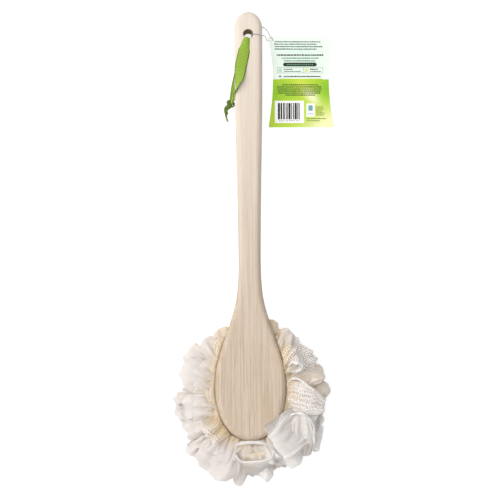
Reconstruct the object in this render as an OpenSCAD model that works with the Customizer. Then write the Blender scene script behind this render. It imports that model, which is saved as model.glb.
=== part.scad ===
// Wooden-handled back scrubber with a ruffled netting pouf, a hanging ribbon and a card tag.
// It lies on a flat surface, z = 0: the pouf is underneath the paddle and the far end of the
// handle touches the surface, so the handle slopes. Millimetres.
// Points written [x, s, n] are in the board's own frame: x across it, s along it from the
// hanging end, n up from its front face, the one that the pouf is fastened to.

/* [Handle] */
// Length of the board, from its hanging end to the tip of the paddle
board_len = 460; // [456:1:464]
// Thickness of the board
board_t = 14; // [13.5:0.1:14.4]
// Radius of the rounded edges all round the board
edge_r = 6; // [4:0.5:6]
// Largest half width of the paddle
paddle_half_w = 36.7; // [34:0.1:38]
// Half width of the grip at the hanging end
grip_half_w = 15.2; // [14.8:0.1:15.4]
// Slope of the handle when the scrubber lies on its pouf, in degrees
slope = 9; // [8.8:0.1:9.2]

/* [Hanging hole] */
// Diameter of the hole
hole_d = 10; // [10:0.1:10.6]
// Distance of the hole from the end of the handle
hole_s = 27; // [26.8:0.1:27.2]

/* [Pouf] */
// Radius of the pouf over the tips of its lobes
pouf_r = 86; // [80:0.5:88]
// Depth of the lobes between their tips
lobe_depth = 9; // [3:0.5:11]
// Height that the back ruffle stands above the front face of the board
pouf_rise = 20; // [16:1:24]
// Distance of the pouf's centre from the end of the handle
pouf_s = 419; // [416:1:420]

/* [Fasteners] */
// Distance between the two screws
screw_pitch = 28; // [24:1:28]
// Radius of a screw's shank
screw_r = 2; // [1.8:0.1:2.1]

/* [Tag] */
// Width of the card at its top and bottom edges
tag_w = 71.5; // [68:0.5:74]
// Height of the card
tag_h = 99; // [94:1:104]
// Width of the card at its waist
tag_waist_w = 61.5; // [58:0.5:64]
// Thickness of the card
tag_t = 0.5; // [0.4:0.1:0.5]

/* [Hidden] */

// ---- Where the board lies ----

// Lift that sets the rounded edge of the hanging end on the surface
board_lift = edge_r * (1 - sin(slope) - cos(slope));
// Place of the hanging end, which centres the whole scrubber on the origin
end_y = 250;

module on_board() {
    translate([0, end_y, board_lift]) rotate([-slope, 0, 0]) mirror([0, 1, 0]) children();
}

// A board-frame point in the model's frame
function placed(p) = [
    p[0],
    end_y - p[1] * cos(slope) + p[2] * sin(slope),
    board_lift + p[1] * sin(slope) + p[2] * cos(slope)
];

// ---- Outline of the board: half width at each distance s from the hanging end ----

// Length of the elliptical hanging end
grip_end = 18.5;
// Where the paddle is widest, and the roundness of its tip
paddle_s = 405;
tip_power = 2.15;
// Stations between the two ends, [s, half width]
stations = [
    [grip_end, grip_half_w], [60, 15], [135, 14.1], [190, 12.9], [262, 11.7], [290, 11.9],
    [315, 14.2], [336, 19.6], [359, 27.4], [382, 34.4], [paddle_s, paddle_half_w]
];

function slope_at(i) =
    i <= 0 || i >= len(stations) - 1 ? 0
    : (stations[i + 1][1] - stations[i - 1][1]) / (stations[i + 1][0] - stations[i - 1][0]);

// Smooth cubic between stations i and i + 1, at the share t of the way
function cubic(i, t) =
    let (step = stations[i + 1][0] - stations[i][0])
    (2 * t^3 - 3 * t^2 + 1) * stations[i][1] + (t^3 - 2 * t^2 + t) * step * slope_at(i)
    + (3 * t^2 - 2 * t^3) * stations[i + 1][1] + (t^3 - t^2) * step * slope_at(i + 1);

// One side of the outline, from the hanging end to the tip, as [half width, s]
side = concat(
    [for (a = [9:9:81]) [grip_half_w * sin(a), grip_end * (1 - cos(a))]],
    [for (i = [0:len(stations) - 2], t = [0:0.25:0.75])
        [cubic(i, t), stations[i][0] + t * (stations[i + 1][0] - stations[i][0])]],
    [for (a = [0:7:84])
        [paddle_half_w * pow(cos(a), 2 / tip_power),
         paddle_s + (board_len - paddle_s) * pow(sin(a), 2 / tip_power)]]
);
outline = concat(
    [[0, 0]], side, [[0, board_len]],
    [for (i = [len(side) - 1:-1:0]) [-side[i][0], side[i][1]]]
);
N_OUT = len(outline);

// The outline moved inwards by d along its own normals
function inset(d) = [
    for (i = [0:N_OUT - 1])
        let (
            along = outline[(i + 1) % N_OUT] - outline[(i + N_OUT - 1) % N_OUT],
            inwards = [-along[1], along[0]] / norm(along)
        )
        outline[i] + d * inwards
];

// Faces that join rings of equal size, with a lid on each end
function skin(rings, size) = concat(
    [[for (i = [0:size - 1]) i]],
    side_skin(rings, size),
    [[for (i = [size - 1:-1:0]) (rings - 1) * size + i]]
);

function side_skin(rings, size) = [
    for (r = [0:rings - 2], i = [0:size - 1])
        let (a = r * size + i, b = r * size + (i + 1) % size)
        each [[a, b + size, b], [a, a + size, b + size]]
];

// Lid of the board: strips from its right side to its left, which start at point number first
function board_lid(first, up) = [
    for (i = [0:N_OUT / 2 - 1])
        let (
            a = first + i, b = a + 1,
            c = first + N_OUT - i - 1, d = first + (N_OUT - i) % N_OUT
        )
        each [
            if (i < N_OUT / 2 - 1) up ? [c, b, a] : [a, b, c],
            if (i > 0) up ? [d, c, a] : [a, c, d]
        ]
];

// Angles round the quarter-circle edge. One of them is the slope, so that a corner rests on the surface.
edge_steps = [0, slope, 27, 45, 67, 90];

module board_blank() {
    rings = concat(
        [for (a = edge_steps) [edge_r * (1 - sin(a)), edge_r * (1 - cos(a))]],
        [for (a = edge_steps) [edge_r * (1 - cos(a)), board_t - edge_r * (1 - sin(a))]]
    );
    points = [for (r = rings) each [for (p = inset(r[0])) [p[0], p[1], r[1]]]];
    faces = concat(
        board_lid(0, false),
        side_skin(len(rings), N_OUT),
        board_lid((len(rings) - 1) * N_OUT, true)
    );
    polyhedron(points, faces, convexity = 4);
}

// Depth of the pilot holes that the screws are driven into
pilot_depth = 10;
pilot_gap = 0.05;
hole_lip = 0.6;

module at_screws() {
    for (side_s = [-1, 1]) translate([0, pouf_s + side_s * screw_pitch / 2, 0]) children();
}

module handle() {
    color("burlywood") on_board() difference() {
        board_blank();
        translate([0, hole_s, -1]) cylinder(h = board_t + 2, d = hole_d, $fn = 48);
        // Eased lips
        translate([0, hole_s, 0]) cylinder(h = hole_lip, r1 = hole_d / 2 + hole_lip, r2 = hole_d / 2, $fn = 48);
        translate([0, hole_s, board_t - hole_lip])
            cylinder(h = hole_lip, r1 = hole_d / 2, r2 = hole_d / 2 + hole_lip, $fn = 48);
        at_screws() translate([0, 0, -1])
            cylinder(h = pilot_depth + 1, r = screw_r + pilot_gap, $fn = 32);
    }
}

// ---- Pouf: six strips of netting, gathered at an oval waist under the paddle and fanned out ----

// Half sizes of the waist
waist_x = 11;
waist_y = 22;
// Room between neighbouring strips
strip_gap = 0.5;
// Height of each strip's upper and lower side at the waist. The cord lies between the third and the fourth.
waist_n = [[-0.6, -2.4], [-2.9, -4.7], [-5.2, -7], [-11, -12.8], [-13.3, -15.1], [-15.6, -17.4]];
// The third strip has a neck, which the gathering cord goes round
neck_strip = 2;
neck_in = 1.3;
neck_len = 3.7;
// The last strip fills the middle of the pouf, round the screw heads and washers
core_strip = 5;
// Directions in which the strips meet the pouf's outer surface, in degrees above its middle
fan = [62, 6, -17, -38, -57, -72, -88];
// Number of lobes round each strip, the turn of the first, and how uneven they are
lobes = [[14, 20, 0.03], [13, 180, -0.03], [17, 60, 0.04], [12, 0, -0.03], [14, 90, 0.04], [10, 0, 0.03]];
// Height of the largest wave in the outer edge of each strip
wave = 4;
// Middle of the pouf, and how far it reaches below that
pouf_mid_n = -24;
pouf_drop = 54;
pouf_power = 2.5;
// Length of each strip against the pouf's radius
reach = [1, 0.965, 0.985, 0.965, 0.975, 0.96];
N_AROUND = 84;

// Point of the outer surface in direction a, as [distance from the axis, n]
function envelope(a) =
    let (
        c = cos(a), s = sin(a),
        up = s > 0 ? pouf_rise - pouf_mid_n : pouf_drop
    )
    [sign(c) * pouf_r * pow(abs(c), 2 / pouf_power), pouf_mid_n + sign(s) * up * pow(abs(s), 2 / pouf_power)];

// Share of the full reach at a turn round the pouf: 1 at a lobe's tip, less between lobes
function lobed(k, turn) =
    reach[k] * (1 - lobe_depth / pouf_r * (1 - cos(lobes[k][0] * turn + lobes[k][1])) / 2
    - abs(lobes[k][2]) * (1 - cos(3 * turn + lobes[k][1])) / 2 + lobes[k][2] * sin(5 * turn) / 3);

// Share of the way across a strip's thickness, and how rounded its tip is there
tip_across = [0, 0.12, 0.3, 0.5, 0.7, 0.88, 1];
function tip_round(u) = 1 - 0.07 * pow(abs(2 * u - 1), 3);

// Section of strip k at a turn round the pouf, from its upper pole to its lower one, as [x, y, n]
function strip_section(k, turn) =
    let (
        out = [sin(turn), cos(turn)],
        base = [waist_x * sin(turn), waist_y * cos(turn)],
        base_r = norm(base),
        top = waist_n[k][0], low = waist_n[k][1],
        grow = lobed(k, turn),
        tip = [for (u = tip_across)
            let (
                e = envelope(fan[k] + u * (fan[k + 1] - fan[k])),
                n0 = top + u * (low - top),
                share = grow * tip_round(u),
                trim = strip_gap * (0.5 - u),
                down = k == core_strip ? share + (1 - share) * u : share
            )
            [base_r + (e[0] - base_r) * share, n0 + (e[1] - n0) * down - trim]],
        last = tip[len(tip) - 1],
        under = k == core_strip ? [] : concat(
            [for (t = [0.7, 0.35]) [base_r, low] + t * (last - [base_r, low])],
            [[base_r, low]]
        ),
        neck_low = low - (k == neck_strip ? neck_len : 0),
        profile = concat(
            [[base_r, top]],
            [for (t = [0.35, 0.7]) [base_r, top] + t * (tip[0] - [base_r, top])],
            tip,
            under,
            k == neck_strip ? [[base_r - neck_in, low - 0.1], [base_r - neck_in, neck_low]] : []
        )
    )
    [for (p = profile)
        let (extra = p[0] - base_r)
        [base[0] + extra * out[0], base[1] + extra * out[1], p[1]]];

// Height of the underside of strip k at the axis
function strip_low(k) =
    k == core_strip ? pouf_mid_n - pouf_drop * reach[k]
    : waist_n[k][1] - (k == neck_strip ? neck_len : 0);

module netting_strip(k) {
    sections = [for (i = [0:N_AROUND - 1]) strip_section(k, i * 360 / N_AROUND)];
    m = len(sections[0]);
    points = concat(
        [for (s = sections) each s],
        [[0, 0, waist_n[k][0]], [0, 0, strip_low(k)]]
    );
    poles = N_AROUND * m;
    faces = concat(
        [for (i = [0:N_AROUND - 1], j = [0:m - 2])
            let (a = i * m + j, b = ((i + 1) % N_AROUND) * m + j)
            each [[a, b + 1, b], [a, a + 1, b + 1]]],
        [for (i = [0:N_AROUND - 1])
            let (a = i * m, b = ((i + 1) % N_AROUND) * m)
            each [[poles, a, b], [poles + 1, b + m - 1, a + m - 1]]]
    );
    difference() {
        intersection() {
            on_board() difference() {
                translate([0, pouf_s, 0]) polyhedron(points, faces, convexity = 8);
                at_screws() {
                    translate([0, 0, pocket_n]) cylinder(h = -pocket_n, r = screw_r + strip_gap, $fn = 24);
                    if (k == core_strip)
                        translate([0, 0, pocket_n]) cylinder(h = washer_n + 0.05 - pocket_n, r = washer_r, $fn = 48);
                }
            }
            // The surface that the pouf lies on
            translate([-150, -300, 0]) cube([300, 400, 200]);
        }
        children();
    }
}

// The board and a little room round it
module board_room() {
    room = 0.6;
    on_board() translate([0, 0, -0.3]) linear_extrude(60)
        polygon([for (p = inset(-room)) p]);
}

module back_ruffle() { color("ivory") netting_strip(0) board_room(); }
module back_loofah_ruffle() { color("wheat") netting_strip(1); }
module side_ruffle() { color("ivory") netting_strip(2); }
module front_loofah_ruffle() { color("wheat") netting_strip(3); }
module front_ruffle() { color("ivory") netting_strip(4); }
module centre_ruffle() { color("floralwhite") netting_strip(5); }

// ---- Cord that gathers the netting, with its knot ----

cord_r = 1.1;
cord_n = -9.2;
cord_out = 0.2;

module gathering_cord() {
    turns = 60;
    sides = 8;
    ring = [for (i = [0:turns - 1]) let (a = i * 360 / turns)
        [(waist_x + cord_out) * sin(a), (waist_y + cord_out) * cos(a)]];
    points = [for (i = [0:turns - 1]) let (a = i * 360 / turns) each
        [for (j = [0:sides - 1]) let (b = j * 360 / sides)
            [ring[i][0] + cord_r * cos(b) * sin(a), ring[i][1] + cord_r * cos(b) * cos(a),
             cord_n + cord_r * sin(b)]]];
    color("cornsilk") on_board() translate([0, pouf_s, 0])
        polyhedron(points, closed_skin(turns, sides), convexity = 4);
}

// Faces that join rings of equal size in a closed loop
function closed_skin(rings, size) = [
    for (r = [0:rings - 1], i = [0:size - 1])
        let (
            a = r * size + i, b = r * size + (i + 1) % size,
            c = ((r + 1) % rings) * size + (i + 1) % size, d = ((r + 1) % rings) * size + i
        )
        each [[a, c, b], [a, d, c]]
];

module gathering_knot() {
    knot_r = 1.05;
    knot_out = 1.8;
    knot_n = -10.8;
    color("cornsilk") on_board() translate([waist_x + knot_out, pouf_s, knot_n])
        sphere(r = knot_r, $fn = 24);
}

// ---- Screws and washers, which clamp the gathered netting to the paddle ----

washer_r = 7;
washer_t = 1;
washer_n = waist_n[core_strip][1] - 0.1;
// Floor of the pockets in the last strip that hold the screw heads
pocket_n = -22;
head_r = 4;
head_h = 2.6;

module washers() {
    color("silver") on_board() at_screws() translate([0, 0, washer_n - washer_t]) difference() {
        cylinder(h = washer_t, r = washer_r - 0.4, $fn = 48);
        translate([0, 0, -1]) cylinder(h = washer_t + 2, r = screw_r + 0.2, $fn = 32);
    }
}

module screws() {
    head_n = washer_n - washer_t - 0.05;
    tip_h = 3;
    drive = [4.6, 0.9, 1.6];
    color("lightgray") on_board() at_screws() difference() {
        union() {
            translate([0, 0, head_n]) cylinder(h = pilot_depth - 0.5 - tip_h - head_n, r = screw_r, $fn = 32);
            translate([0, 0, pilot_depth - 0.5 - tip_h]) cylinder(h = tip_h, r1 = screw_r, r2 = 0.3, $fn = 32);
            translate([0, 0, head_n]) rotate([180, 0, 0]) rotate_extrude($fn = 48)
                intersection() {
                    translate([0, -2.6]) circle(r = 5.2, $fn = 96);
                    square([head_r, head_h]);
                }
        }
        for (turn = [0, 90]) translate([0, 0, head_n - head_h]) rotate([0, 0, turn])
            cube([drive[0], drive[1], 2 * drive[2]], center = true);
    }
}

// ---- Cords: hand-picked points joined by a smooth curve ----

// Catmull-Rom point between p1 and p2
function spline(p0, p1, p2, p3, t) =
    0.5 * (2 * p1 + (p2 - p0) * t + (2 * p0 - 5 * p1 + 4 * p2 - p3) * t^2 + (3 * p1 - p0 - 3 * p2 + p3) * t^3);

function smooth_open(route, per) =
    let (last = len(route) - 1)
    concat(
        [for (i = [0:last - 1], k = [0:per - 1])
            spline(route[max(i - 1, 0)], route[i], route[i + 1], route[min(i + 2, last)], k / per)],
        [route[last]]
    );

function smooth_closed(route, per) =
    let (m = len(route))
    [for (i = [0:m - 1], k = [0:per - 1])
        spline(route[(i + m - 1) % m], route[i], route[(i + 1) % m], route[(i + 2) % m], k / per)];

function unit(v) = v / norm(v);

// Ring of points round c, across the direction of travel, with half sizes a along the wide way and b
function band_ring(c, travel, wide, a, b, sides) =
    let (w = unit(wide - (wide * travel) * travel), t = cross(travel, w))
    [for (j = [0:sides - 1]) let (q = 360 * (j + 0.5) / sides)
        c + a * sign(cos(q)) * pow(abs(cos(q)), 0.5) * w + b * sin(q) * t];

// Board-frame route of the hanging ribbon, [x, s, n, width, roll]: from the knot over the left edge
// of the board, along its back face, down through the hole and back under the board to the knot.
// It turns on its side where it rounds the edge.
ribbon_route = [
    [-18.8, 97.6, -6.5, 4.5, 80],
    [-18.2, 95.5, -1.5, 4.5, 80],
    [-17.3, 93, 4, 4.5, 78],
    [-16.8, 89, 9.5, 5.5, 70],
    [-15, 84, 13.2, 7, 52],
    [-12.3, 77, 15.1, 9, 24],
    [-10, 68, 15.1, 10.4, 4],
    [-7, 56, 15, 10.8, 0],
    [-4.5, 45, 15, 10.8, 0],
    [-2.4, 36, 15.4, 8.5, 0],
    [-1.2, 31.8, 14.9, 6, 0],
    [-0.9, 30.3, 12, 5, 0],
    [-0.9, 30.3, 6, 5, 0],
    [-0.9, 30.4, 1.5, 5, 0],
    [-1.4, 32.4, -1.2, 6, 0],
    [-2.8, 38, -2.4, 8, 0],
    [-6, 49, -3.8, 10, 0],
    [-9.4, 62, -5.4, 10.4, 0],
    [-12.8, 75, -7.2, 10, 0],
    [-16, 87, -8.8, 8, 0],
    [-18.4, 95, -9.8, 5.5, 0]
];
ribbon_t = 0.8;
// Direction across the ribbon where it lies flat
ribbon_lie = 14;
knot_at = [-19.7, 99.6, -9.9];

module ribbon_loop() {
    per = 3;
    line = smooth_open(ribbon_route, per);
    m = len(line);
    c = [for (p = line) [p[0], p[1], p[2]]];
    points = [for (i = [0:m - 1])
        let (roll = line[i][4], wide = [cos(roll) * cos(ribbon_lie), cos(roll) * sin(ribbon_lie), sin(roll)])
        each band_ring(
            c[i], unit(c[min(i + 1, m - 1)] - c[max(i - 1, 0)]), wide, line[i][3] / 2, ribbon_t / 2, 8)];
    color("yellowgreen") on_board() polyhedron(points, skin(m, 8), convexity = 8);
}

module ribbon_knot() {
    core_r = 3.5;
    wrap_r = 1.7;
    wrap_out = 2.5;
    lie = 20;
    color("olivedrab") on_board() translate(knot_at) rotate([90 - slope, 0, lie]) union() {
        sphere(r = core_r, $fn = 32);
        rotate_extrude($fn = 48) translate([wrap_out, 0]) circle(r = wrap_r, $fn = 24);
    }
}

tail_routes = [
    [[-20.8, 103.2, -10.4], [-22.4, 106, -12.4], [-22.8, 110, -14.2], [-22.4, 115, -15.8], [-21.8, 119.6, -16.9]],
    [[-22.8, 102.6, -10.4], [-25.8, 104.4, -12], [-27.4, 108, -13.7], [-27, 113, -15.3], [-26, 117, -16.2]]
];
tail_w = 4.6;

module ribbon_tails() {
    per = 3;
    color("olivedrab") on_board() for (route = tail_routes) {
        c = smooth_open(route, per);
        m = len(c);
        points = [for (i = [0:m - 1]) each band_ring(
            c[i], unit(c[min(i + 1, m - 1)] - c[max(i - 1, 0)]), [0.95, 0, 0.3], tail_w / 2 * (i == 0 ? 0.5 : 1), 0.4, 8)];
        polyhedron(points, skin(m, 8), convexity = 4);
    }
}

// Board-frame route of the tag's clear loop, closed: through the hole, over the right edge of the
// board, under the corner of the card, up through its hole and back under the board
tag_loop_route = [
    [3.7, 26.8, 7], [3.9, 27, 12.8], [5.5, 27.5, 15.6], [9.5, 28.3, 16.2], [14, 29, 15.6],
    [17.5, 29, 12.6], [19.3, 28.6, 8], [19.8, 28.3, 3], [20, 28.3, -0.5], [21.3, 28.8, -2.2],
    [23.5, 29.2, -2.6], [25.8, 29.4, -2.2], [27.3, 29.5, -1.2], [27.3, 29.4, 0.6], [26.2, 28.2, 1.9],
    [23.8, 24.5, 2.1], [20.8, 18.5, 0.8], [17.8, 14.6, -0.4], [14, 13.8, -0.75], [10, 16.5, -0.85],
    [6, 22, -1.1], [4.2, 25.6, -1], [3.6, 26.6, 1.5]
];
loop_r = 0.4;

module tag_loop() {
    per = 3;
    c = smooth_closed(tag_loop_route, per);
    m = len(c);
    points = [for (i = [0:m - 1])
        let (
            travel = unit(c[(i + 1) % m] - c[(i + m - 1) % m]),
            side_way = abs(travel[1]) < 0.7 ? [0, 1, 0] : [1, 0, 0],
            w = unit(side_way - (side_way * travel) * travel),
            t = cross(travel, w)
        )
        each [for (j = [0:7]) c[i] + loop_r * (cos(45 * j) * w + sin(45 * j) * t)]];
    color("gainsboro") on_board() polyhedron(points, closed_skin(m, 8), convexity = 8);
}

// ---- Card tag, which lies beside the handle with its corner propped on the loop ----

tag_hole_r = 2;
// Board-frame place of the card's hole, and its place from the card's upper left corner
tag_hole_at = [27.3, 29.5, -0.4];
tag_hole_in = [5.5, 4];
// Depth of the waist below the top edge
waist_down = 46.5;
// Rise of the card's left edge
tag_rise = 3;
tag_lean = asin(tag_rise / tag_w);

// Half width of the card at depth d below its top edge
function tag_half(d) =
    d < waist_down
    ? tag_w / 2 - (tag_w - tag_waist_w) / 2 * sin(90 * d / waist_down)
    : tag_waist_w / 2 + (tag_w - tag_waist_w) / 2 * (1 - cos(90 * (d - waist_down) / (tag_h - waist_down)));

module hang_tag() {
    steps = 12;
    depths = [for (i = [0:steps]) i * tag_h / steps];
    hole = placed(tag_hole_at);
    color("yellowgreen") translate([hole[0], hole[1], hole[2]]) rotate([0, tag_lean, 0])
        translate([tag_w / 2 - tag_hole_in[0], tag_hole_in[1], -tag_t / 2]) linear_extrude(tag_t) difference() {
            polygon(concat(
                [for (d = depths) [tag_half(d), -d]],
                [for (i = [steps:-1:0]) [-tag_half(depths[i]), -depths[i]]]
            ));
            translate([tag_hole_in[0] - tag_w / 2, -tag_hole_in[1]]) circle(r = tag_hole_r, $fn = 32);
        }
}

handle();
back_ruffle();
back_loofah_ruffle();
side_ruffle();
front_loofah_ruffle();
front_ruffle();
centre_ruffle();
gathering_cord();
gathering_knot();
washers();
screws();
ribbon_loop();
ribbon_knot();
ribbon_tails();
tag_loop();
hang_tag();
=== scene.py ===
import math

import bpy
import numpy as np
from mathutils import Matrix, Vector


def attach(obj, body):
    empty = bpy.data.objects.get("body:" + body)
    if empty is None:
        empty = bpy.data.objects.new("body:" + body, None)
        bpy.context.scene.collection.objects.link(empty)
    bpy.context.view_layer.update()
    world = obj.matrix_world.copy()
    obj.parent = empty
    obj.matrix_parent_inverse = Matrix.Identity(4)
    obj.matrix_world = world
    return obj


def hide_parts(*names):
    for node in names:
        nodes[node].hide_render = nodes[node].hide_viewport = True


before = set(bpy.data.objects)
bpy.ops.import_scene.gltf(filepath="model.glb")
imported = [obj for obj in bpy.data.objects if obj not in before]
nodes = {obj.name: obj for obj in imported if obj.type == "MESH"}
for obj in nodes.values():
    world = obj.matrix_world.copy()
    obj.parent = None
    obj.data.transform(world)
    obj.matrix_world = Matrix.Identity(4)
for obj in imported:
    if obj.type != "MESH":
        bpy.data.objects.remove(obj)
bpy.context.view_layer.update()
scene = bpy.context.scene
MM = 0.001

# ---- The board's own frame: x across it, s along it from its hanging end, n up from its front face ----
SLOPE = math.radians(9)
SIN, COS = math.sin(SLOPE), math.cos(SLOPE)
EDGE_R = 6.0
LIFT = EDGE_R * (1 - SIN - COS)
END_Y = 250.0
ORIGIN = np.array([0, END_Y, LIFT])
ALONG = np.array([0, -COS, SIN])
NORMAL = np.array([0, SIN, COS])
ACROSS = np.array([1.0, 0, 0])
BOARD_T = 14.0
BOARD_LEN = 460.0
HOLE_S = 27.0


def placed(p):
    """Board-frame points [x, s, n] in the row frame, in millimetres."""
    p = np.asarray(p, float)
    return ORIGIN + p[..., :1] * ACROSS + p[..., 1:2] * ALONG + p[..., 2:3] * NORMAL


def on_board(w):
    """Row-frame points as board-frame [x, s, n]."""
    d = np.asarray(w, float) - ORIGIN
    return np.stack([d[..., 0], d @ ALONG, d @ NORMAL], -1)


def unit(v):
    v = np.asarray(v, float)
    return v / np.maximum(np.linalg.norm(v, axis=-1, keepdims=True), 1e-9)


# ---- Lines and grids of points ----
def square_to(way, travel):
    """The way nearest to this one that is square to travel, at each point of a line."""
    return unit(way - (way * travel).sum(1, keepdims=True) * travel)


def run_along(line):
    """How far along the line each of its points is."""
    return np.r_[0, np.cumsum(np.linalg.norm(np.diff(line, axis=0), axis=1))]


def smooth_line(route, step):
    """A Catmull-Rom line through the route's rows, at about equal steps of its first three columns."""
    r = np.asarray(route, float)
    r = np.vstack([2 * r[0] - r[1], r, 2 * r[-1] - r[-2]])
    out = []
    for i in range(1, len(r) - 2):
        p0, p1, p2, p3 = r[i - 1 : i + 3]
        m = max(2, int(np.linalg.norm((p2 - p1)[:3]) / step * 4))
        t = np.linspace(0, 1, m, endpoint=False)[:, None]
        out.append(0.5 * (2 * p1 + (p2 - p0) * t + (2 * p0 - 5 * p1 + 4 * p2 - p3) * t**2
                          + (3 * p1 - p0 - 3 * p2 + p3) * t**3))
    line = np.vstack(out + [r[-2:-1]])
    run = run_along(line[:, :3])
    at = np.linspace(0, run[-1], max(3, int(round(run[-1] / step)) + 1))
    return np.stack([np.interp(at, run, c) for c in line.T], -1)


def circle(count):
    """Angles of count points round a circle."""
    return np.linspace(0, 2 * np.pi, count, endpoint=False)


def flattened(x, power):
    """A sine or cosine drawn towards -1 and 1, by a power below 1."""
    return np.sign(x) * np.abs(x) ** power


def swept(path, *ways):
    """A grid of points, one row for each point of the path, moved along each way by its row of amounts."""
    grid = path[:, None]
    for way, amounts in ways:
        grid = grid + way[:, None] * amounts[..., None]
    return grid


def pairs(u, v):
    """The (u, v) pair of each point of a grid."""
    return np.stack(np.broadcast_arrays(u, v), -1).reshape(-1, 2)


def grid_faces(rows, cols, closed=True):
    """Quads over a grid of points, row by row. closed joins each row's last point to its first."""
    i = np.arange(rows - 1)[:, None]
    j = np.arange(cols if closed else cols - 1)[None, :]
    a, b = i * cols + j, i * cols + (j + 1) % cols
    return np.stack(np.broadcast_arrays(a, b, b + cols, a + cols), -1).reshape(-1, 4)


def make_mesh(name, points, faces, uv=None, smooth=True, light=None):
    """A mesh object from points in millimetres and quads. uv has one pair for each point, and light one value,
    which the netting's colour follows: painted light and shade."""
    points, faces = np.asarray(points, float), np.asarray(faces, int)
    mesh = bpy.data.meshes.new(name)
    mesh.vertices.add(len(points))
    mesh.vertices.foreach_set("co", (points * MM).ravel())
    mesh.loops.add(faces.size)
    mesh.loops.foreach_set("vertex_index", faces.ravel())
    mesh.polygons.add(len(faces))
    mesh.polygons.foreach_set("loop_start", np.arange(len(faces)) * 4)
    mesh.polygons.foreach_set("use_smooth", np.full(len(faces), smooth))
    if uv is not None:
        layer = mesh.uv_layers.new(name="Weave")
        layer.data.foreach_set("uv", np.asarray(uv, np.float32)[faces.ravel()].ravel())
    if light is not None:
        attribute = mesh.attributes.new("light", "FLOAT", "POINT")
        attribute.data.foreach_set("value", np.asarray(light, np.float32))
    mesh.update(calc_edges=True)
    made = bpy.data.objects.new(name, mesh)
    scene.collection.objects.link(made)
    return made


# ---- Camera, straight above ----
CAMERA_HEIGHT = 1100.0
CAMERA_AT = np.array([0.4, -8.6, CAMERA_HEIGHT])
CAMERA_TURN = math.radians(-0.4)
camera_data = bpy.data.cameras.new("camera")
camera_data.sensor_width = 36
camera_data.lens = 72
camera = bpy.data.objects.new("camera", camera_data)
camera.location = (CAMERA_AT * MM).tolist()
camera.rotation_euler = (0, 0, CAMERA_TURN)
scene.collection.objects.link(camera)
scene.camera = camera


def above(x, y, n):
    """The row-frame point at height n over the board's front face that looks to the camera as if it were at
    (x, y) on the floor."""
    ray = np.array([x, y, 0]) - CAMERA_AT
    share = (n - (CAMERA_AT - ORIGIN) @ NORMAL) / (ray @ NORMAL)
    return CAMERA_AT + share * ray


# ---- Material helpers, where t is a node tree ----
def new_material(name):
    material = bpy.data.materials.new(name)
    material.use_nodes = True
    material.node_tree.nodes.clear()
    return material, material.node_tree


def node(t, kind, inputs=None, **settings):
    """A node. Each of its inputs is linked to a socket, or set to a value."""
    made = t.nodes.new(kind)
    for key, value in settings.items():
        setattr(made, key, value)
    for key, value in (inputs or {}).items():
        if isinstance(value, bpy.types.NodeSocket):
            t.links.new(value, made.inputs[key])
        else:
            made.inputs[key].default_value = value
    return made


def maths(t, operation, *values):
    return node(t, "ShaderNodeMath", dict(enumerate(values)), operation=operation).outputs[0]


def vector_maths(t, operation, a, b):
    return node(t, "ShaderNodeVectorMath", {0: a, 1: b}, operation=operation).outputs[0]


def object_place(t):
    return node(t, "ShaderNodeTexCoord").outputs["Object"]


def noise(t, at, scale, detail=2.0, rough=0.5, output="Fac"):
    """Noise at the place that a socket gives, or at the object's own where at is None."""
    place = {} if at is None else {"Vector": at}
    made = node(t, "ShaderNodeTexNoise", place | {"Scale": scale, "Detail": detail, "Roughness": rough})
    return made.outputs[output]


def stretched(t, at, scale, turn=(0, 0, 0)):
    return node(t, "ShaderNodeMapping", {"Vector": at, "Scale": scale, "Rotation": turn}).outputs[0]


def parts_of(t, vector):
    """The x, y and z of a vector."""
    return node(t, "ShaderNodeSeparateXYZ", {"Vector": vector}).outputs


def between(t, value, low, high, **settings):
    """0 where the value is low, 1 where it is high."""
    inputs = {"Value": value, "From Min": low, "From Max": high}
    return node(t, "ShaderNodeMapRange", inputs, **settings).outputs[0]


def linear(r, g, b):
    """A colour given as it looks on screen, 0 to 255, as the shader wants it."""
    return tuple((c / 255 / 12.92) if c <= 10 else ((c / 255 + 0.055) / 1.055) ** 2.4 for c in (r, g, b))


def ramp(t, value, stops, interpolation="EASE"):
    made = node(t, "ShaderNodeValToRGB", {"Fac": value})
    made.color_ramp.interpolation = interpolation
    elements = made.color_ramp.elements
    while len(elements) < len(stops):
        elements.new(0.5)
    for element, (at, colour) in zip(elements, stops):
        element.position = at
        element.color = (*colour, 1)
    return made.outputs[0]


def tint(t, colour, share, most, other):
    """A colour with another mixed in, by share of most."""
    part = maths(t, "MULTIPLY", share, most)
    return node(t, "ShaderNodeMix", {0: part, 6: colour, 7: (*other, 1)}, data_type="RGBA").outputs[2]


def bumped(t, height, strength, distance):
    inputs = {"Height": height, "Strength": strength, "Distance": distance}
    return node(t, "ShaderNodeBump", inputs).outputs[0]


def principled(t, colour, rough, more=None):
    inputs = {"Base Color": colour, "Roughness": rough} | (more or {})
    return node(t, "ShaderNodeBsdfPrincipled", inputs).outputs[0]


def mixed_shader(t, share, first, second):
    return node(t, "ShaderNodeMixShader", {0: share, 1: first, 2: second}).outputs[0]


def finished(material, surface):
    node(material.node_tree, "ShaderNodeOutputMaterial", {"Surface": surface})
    return material


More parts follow.
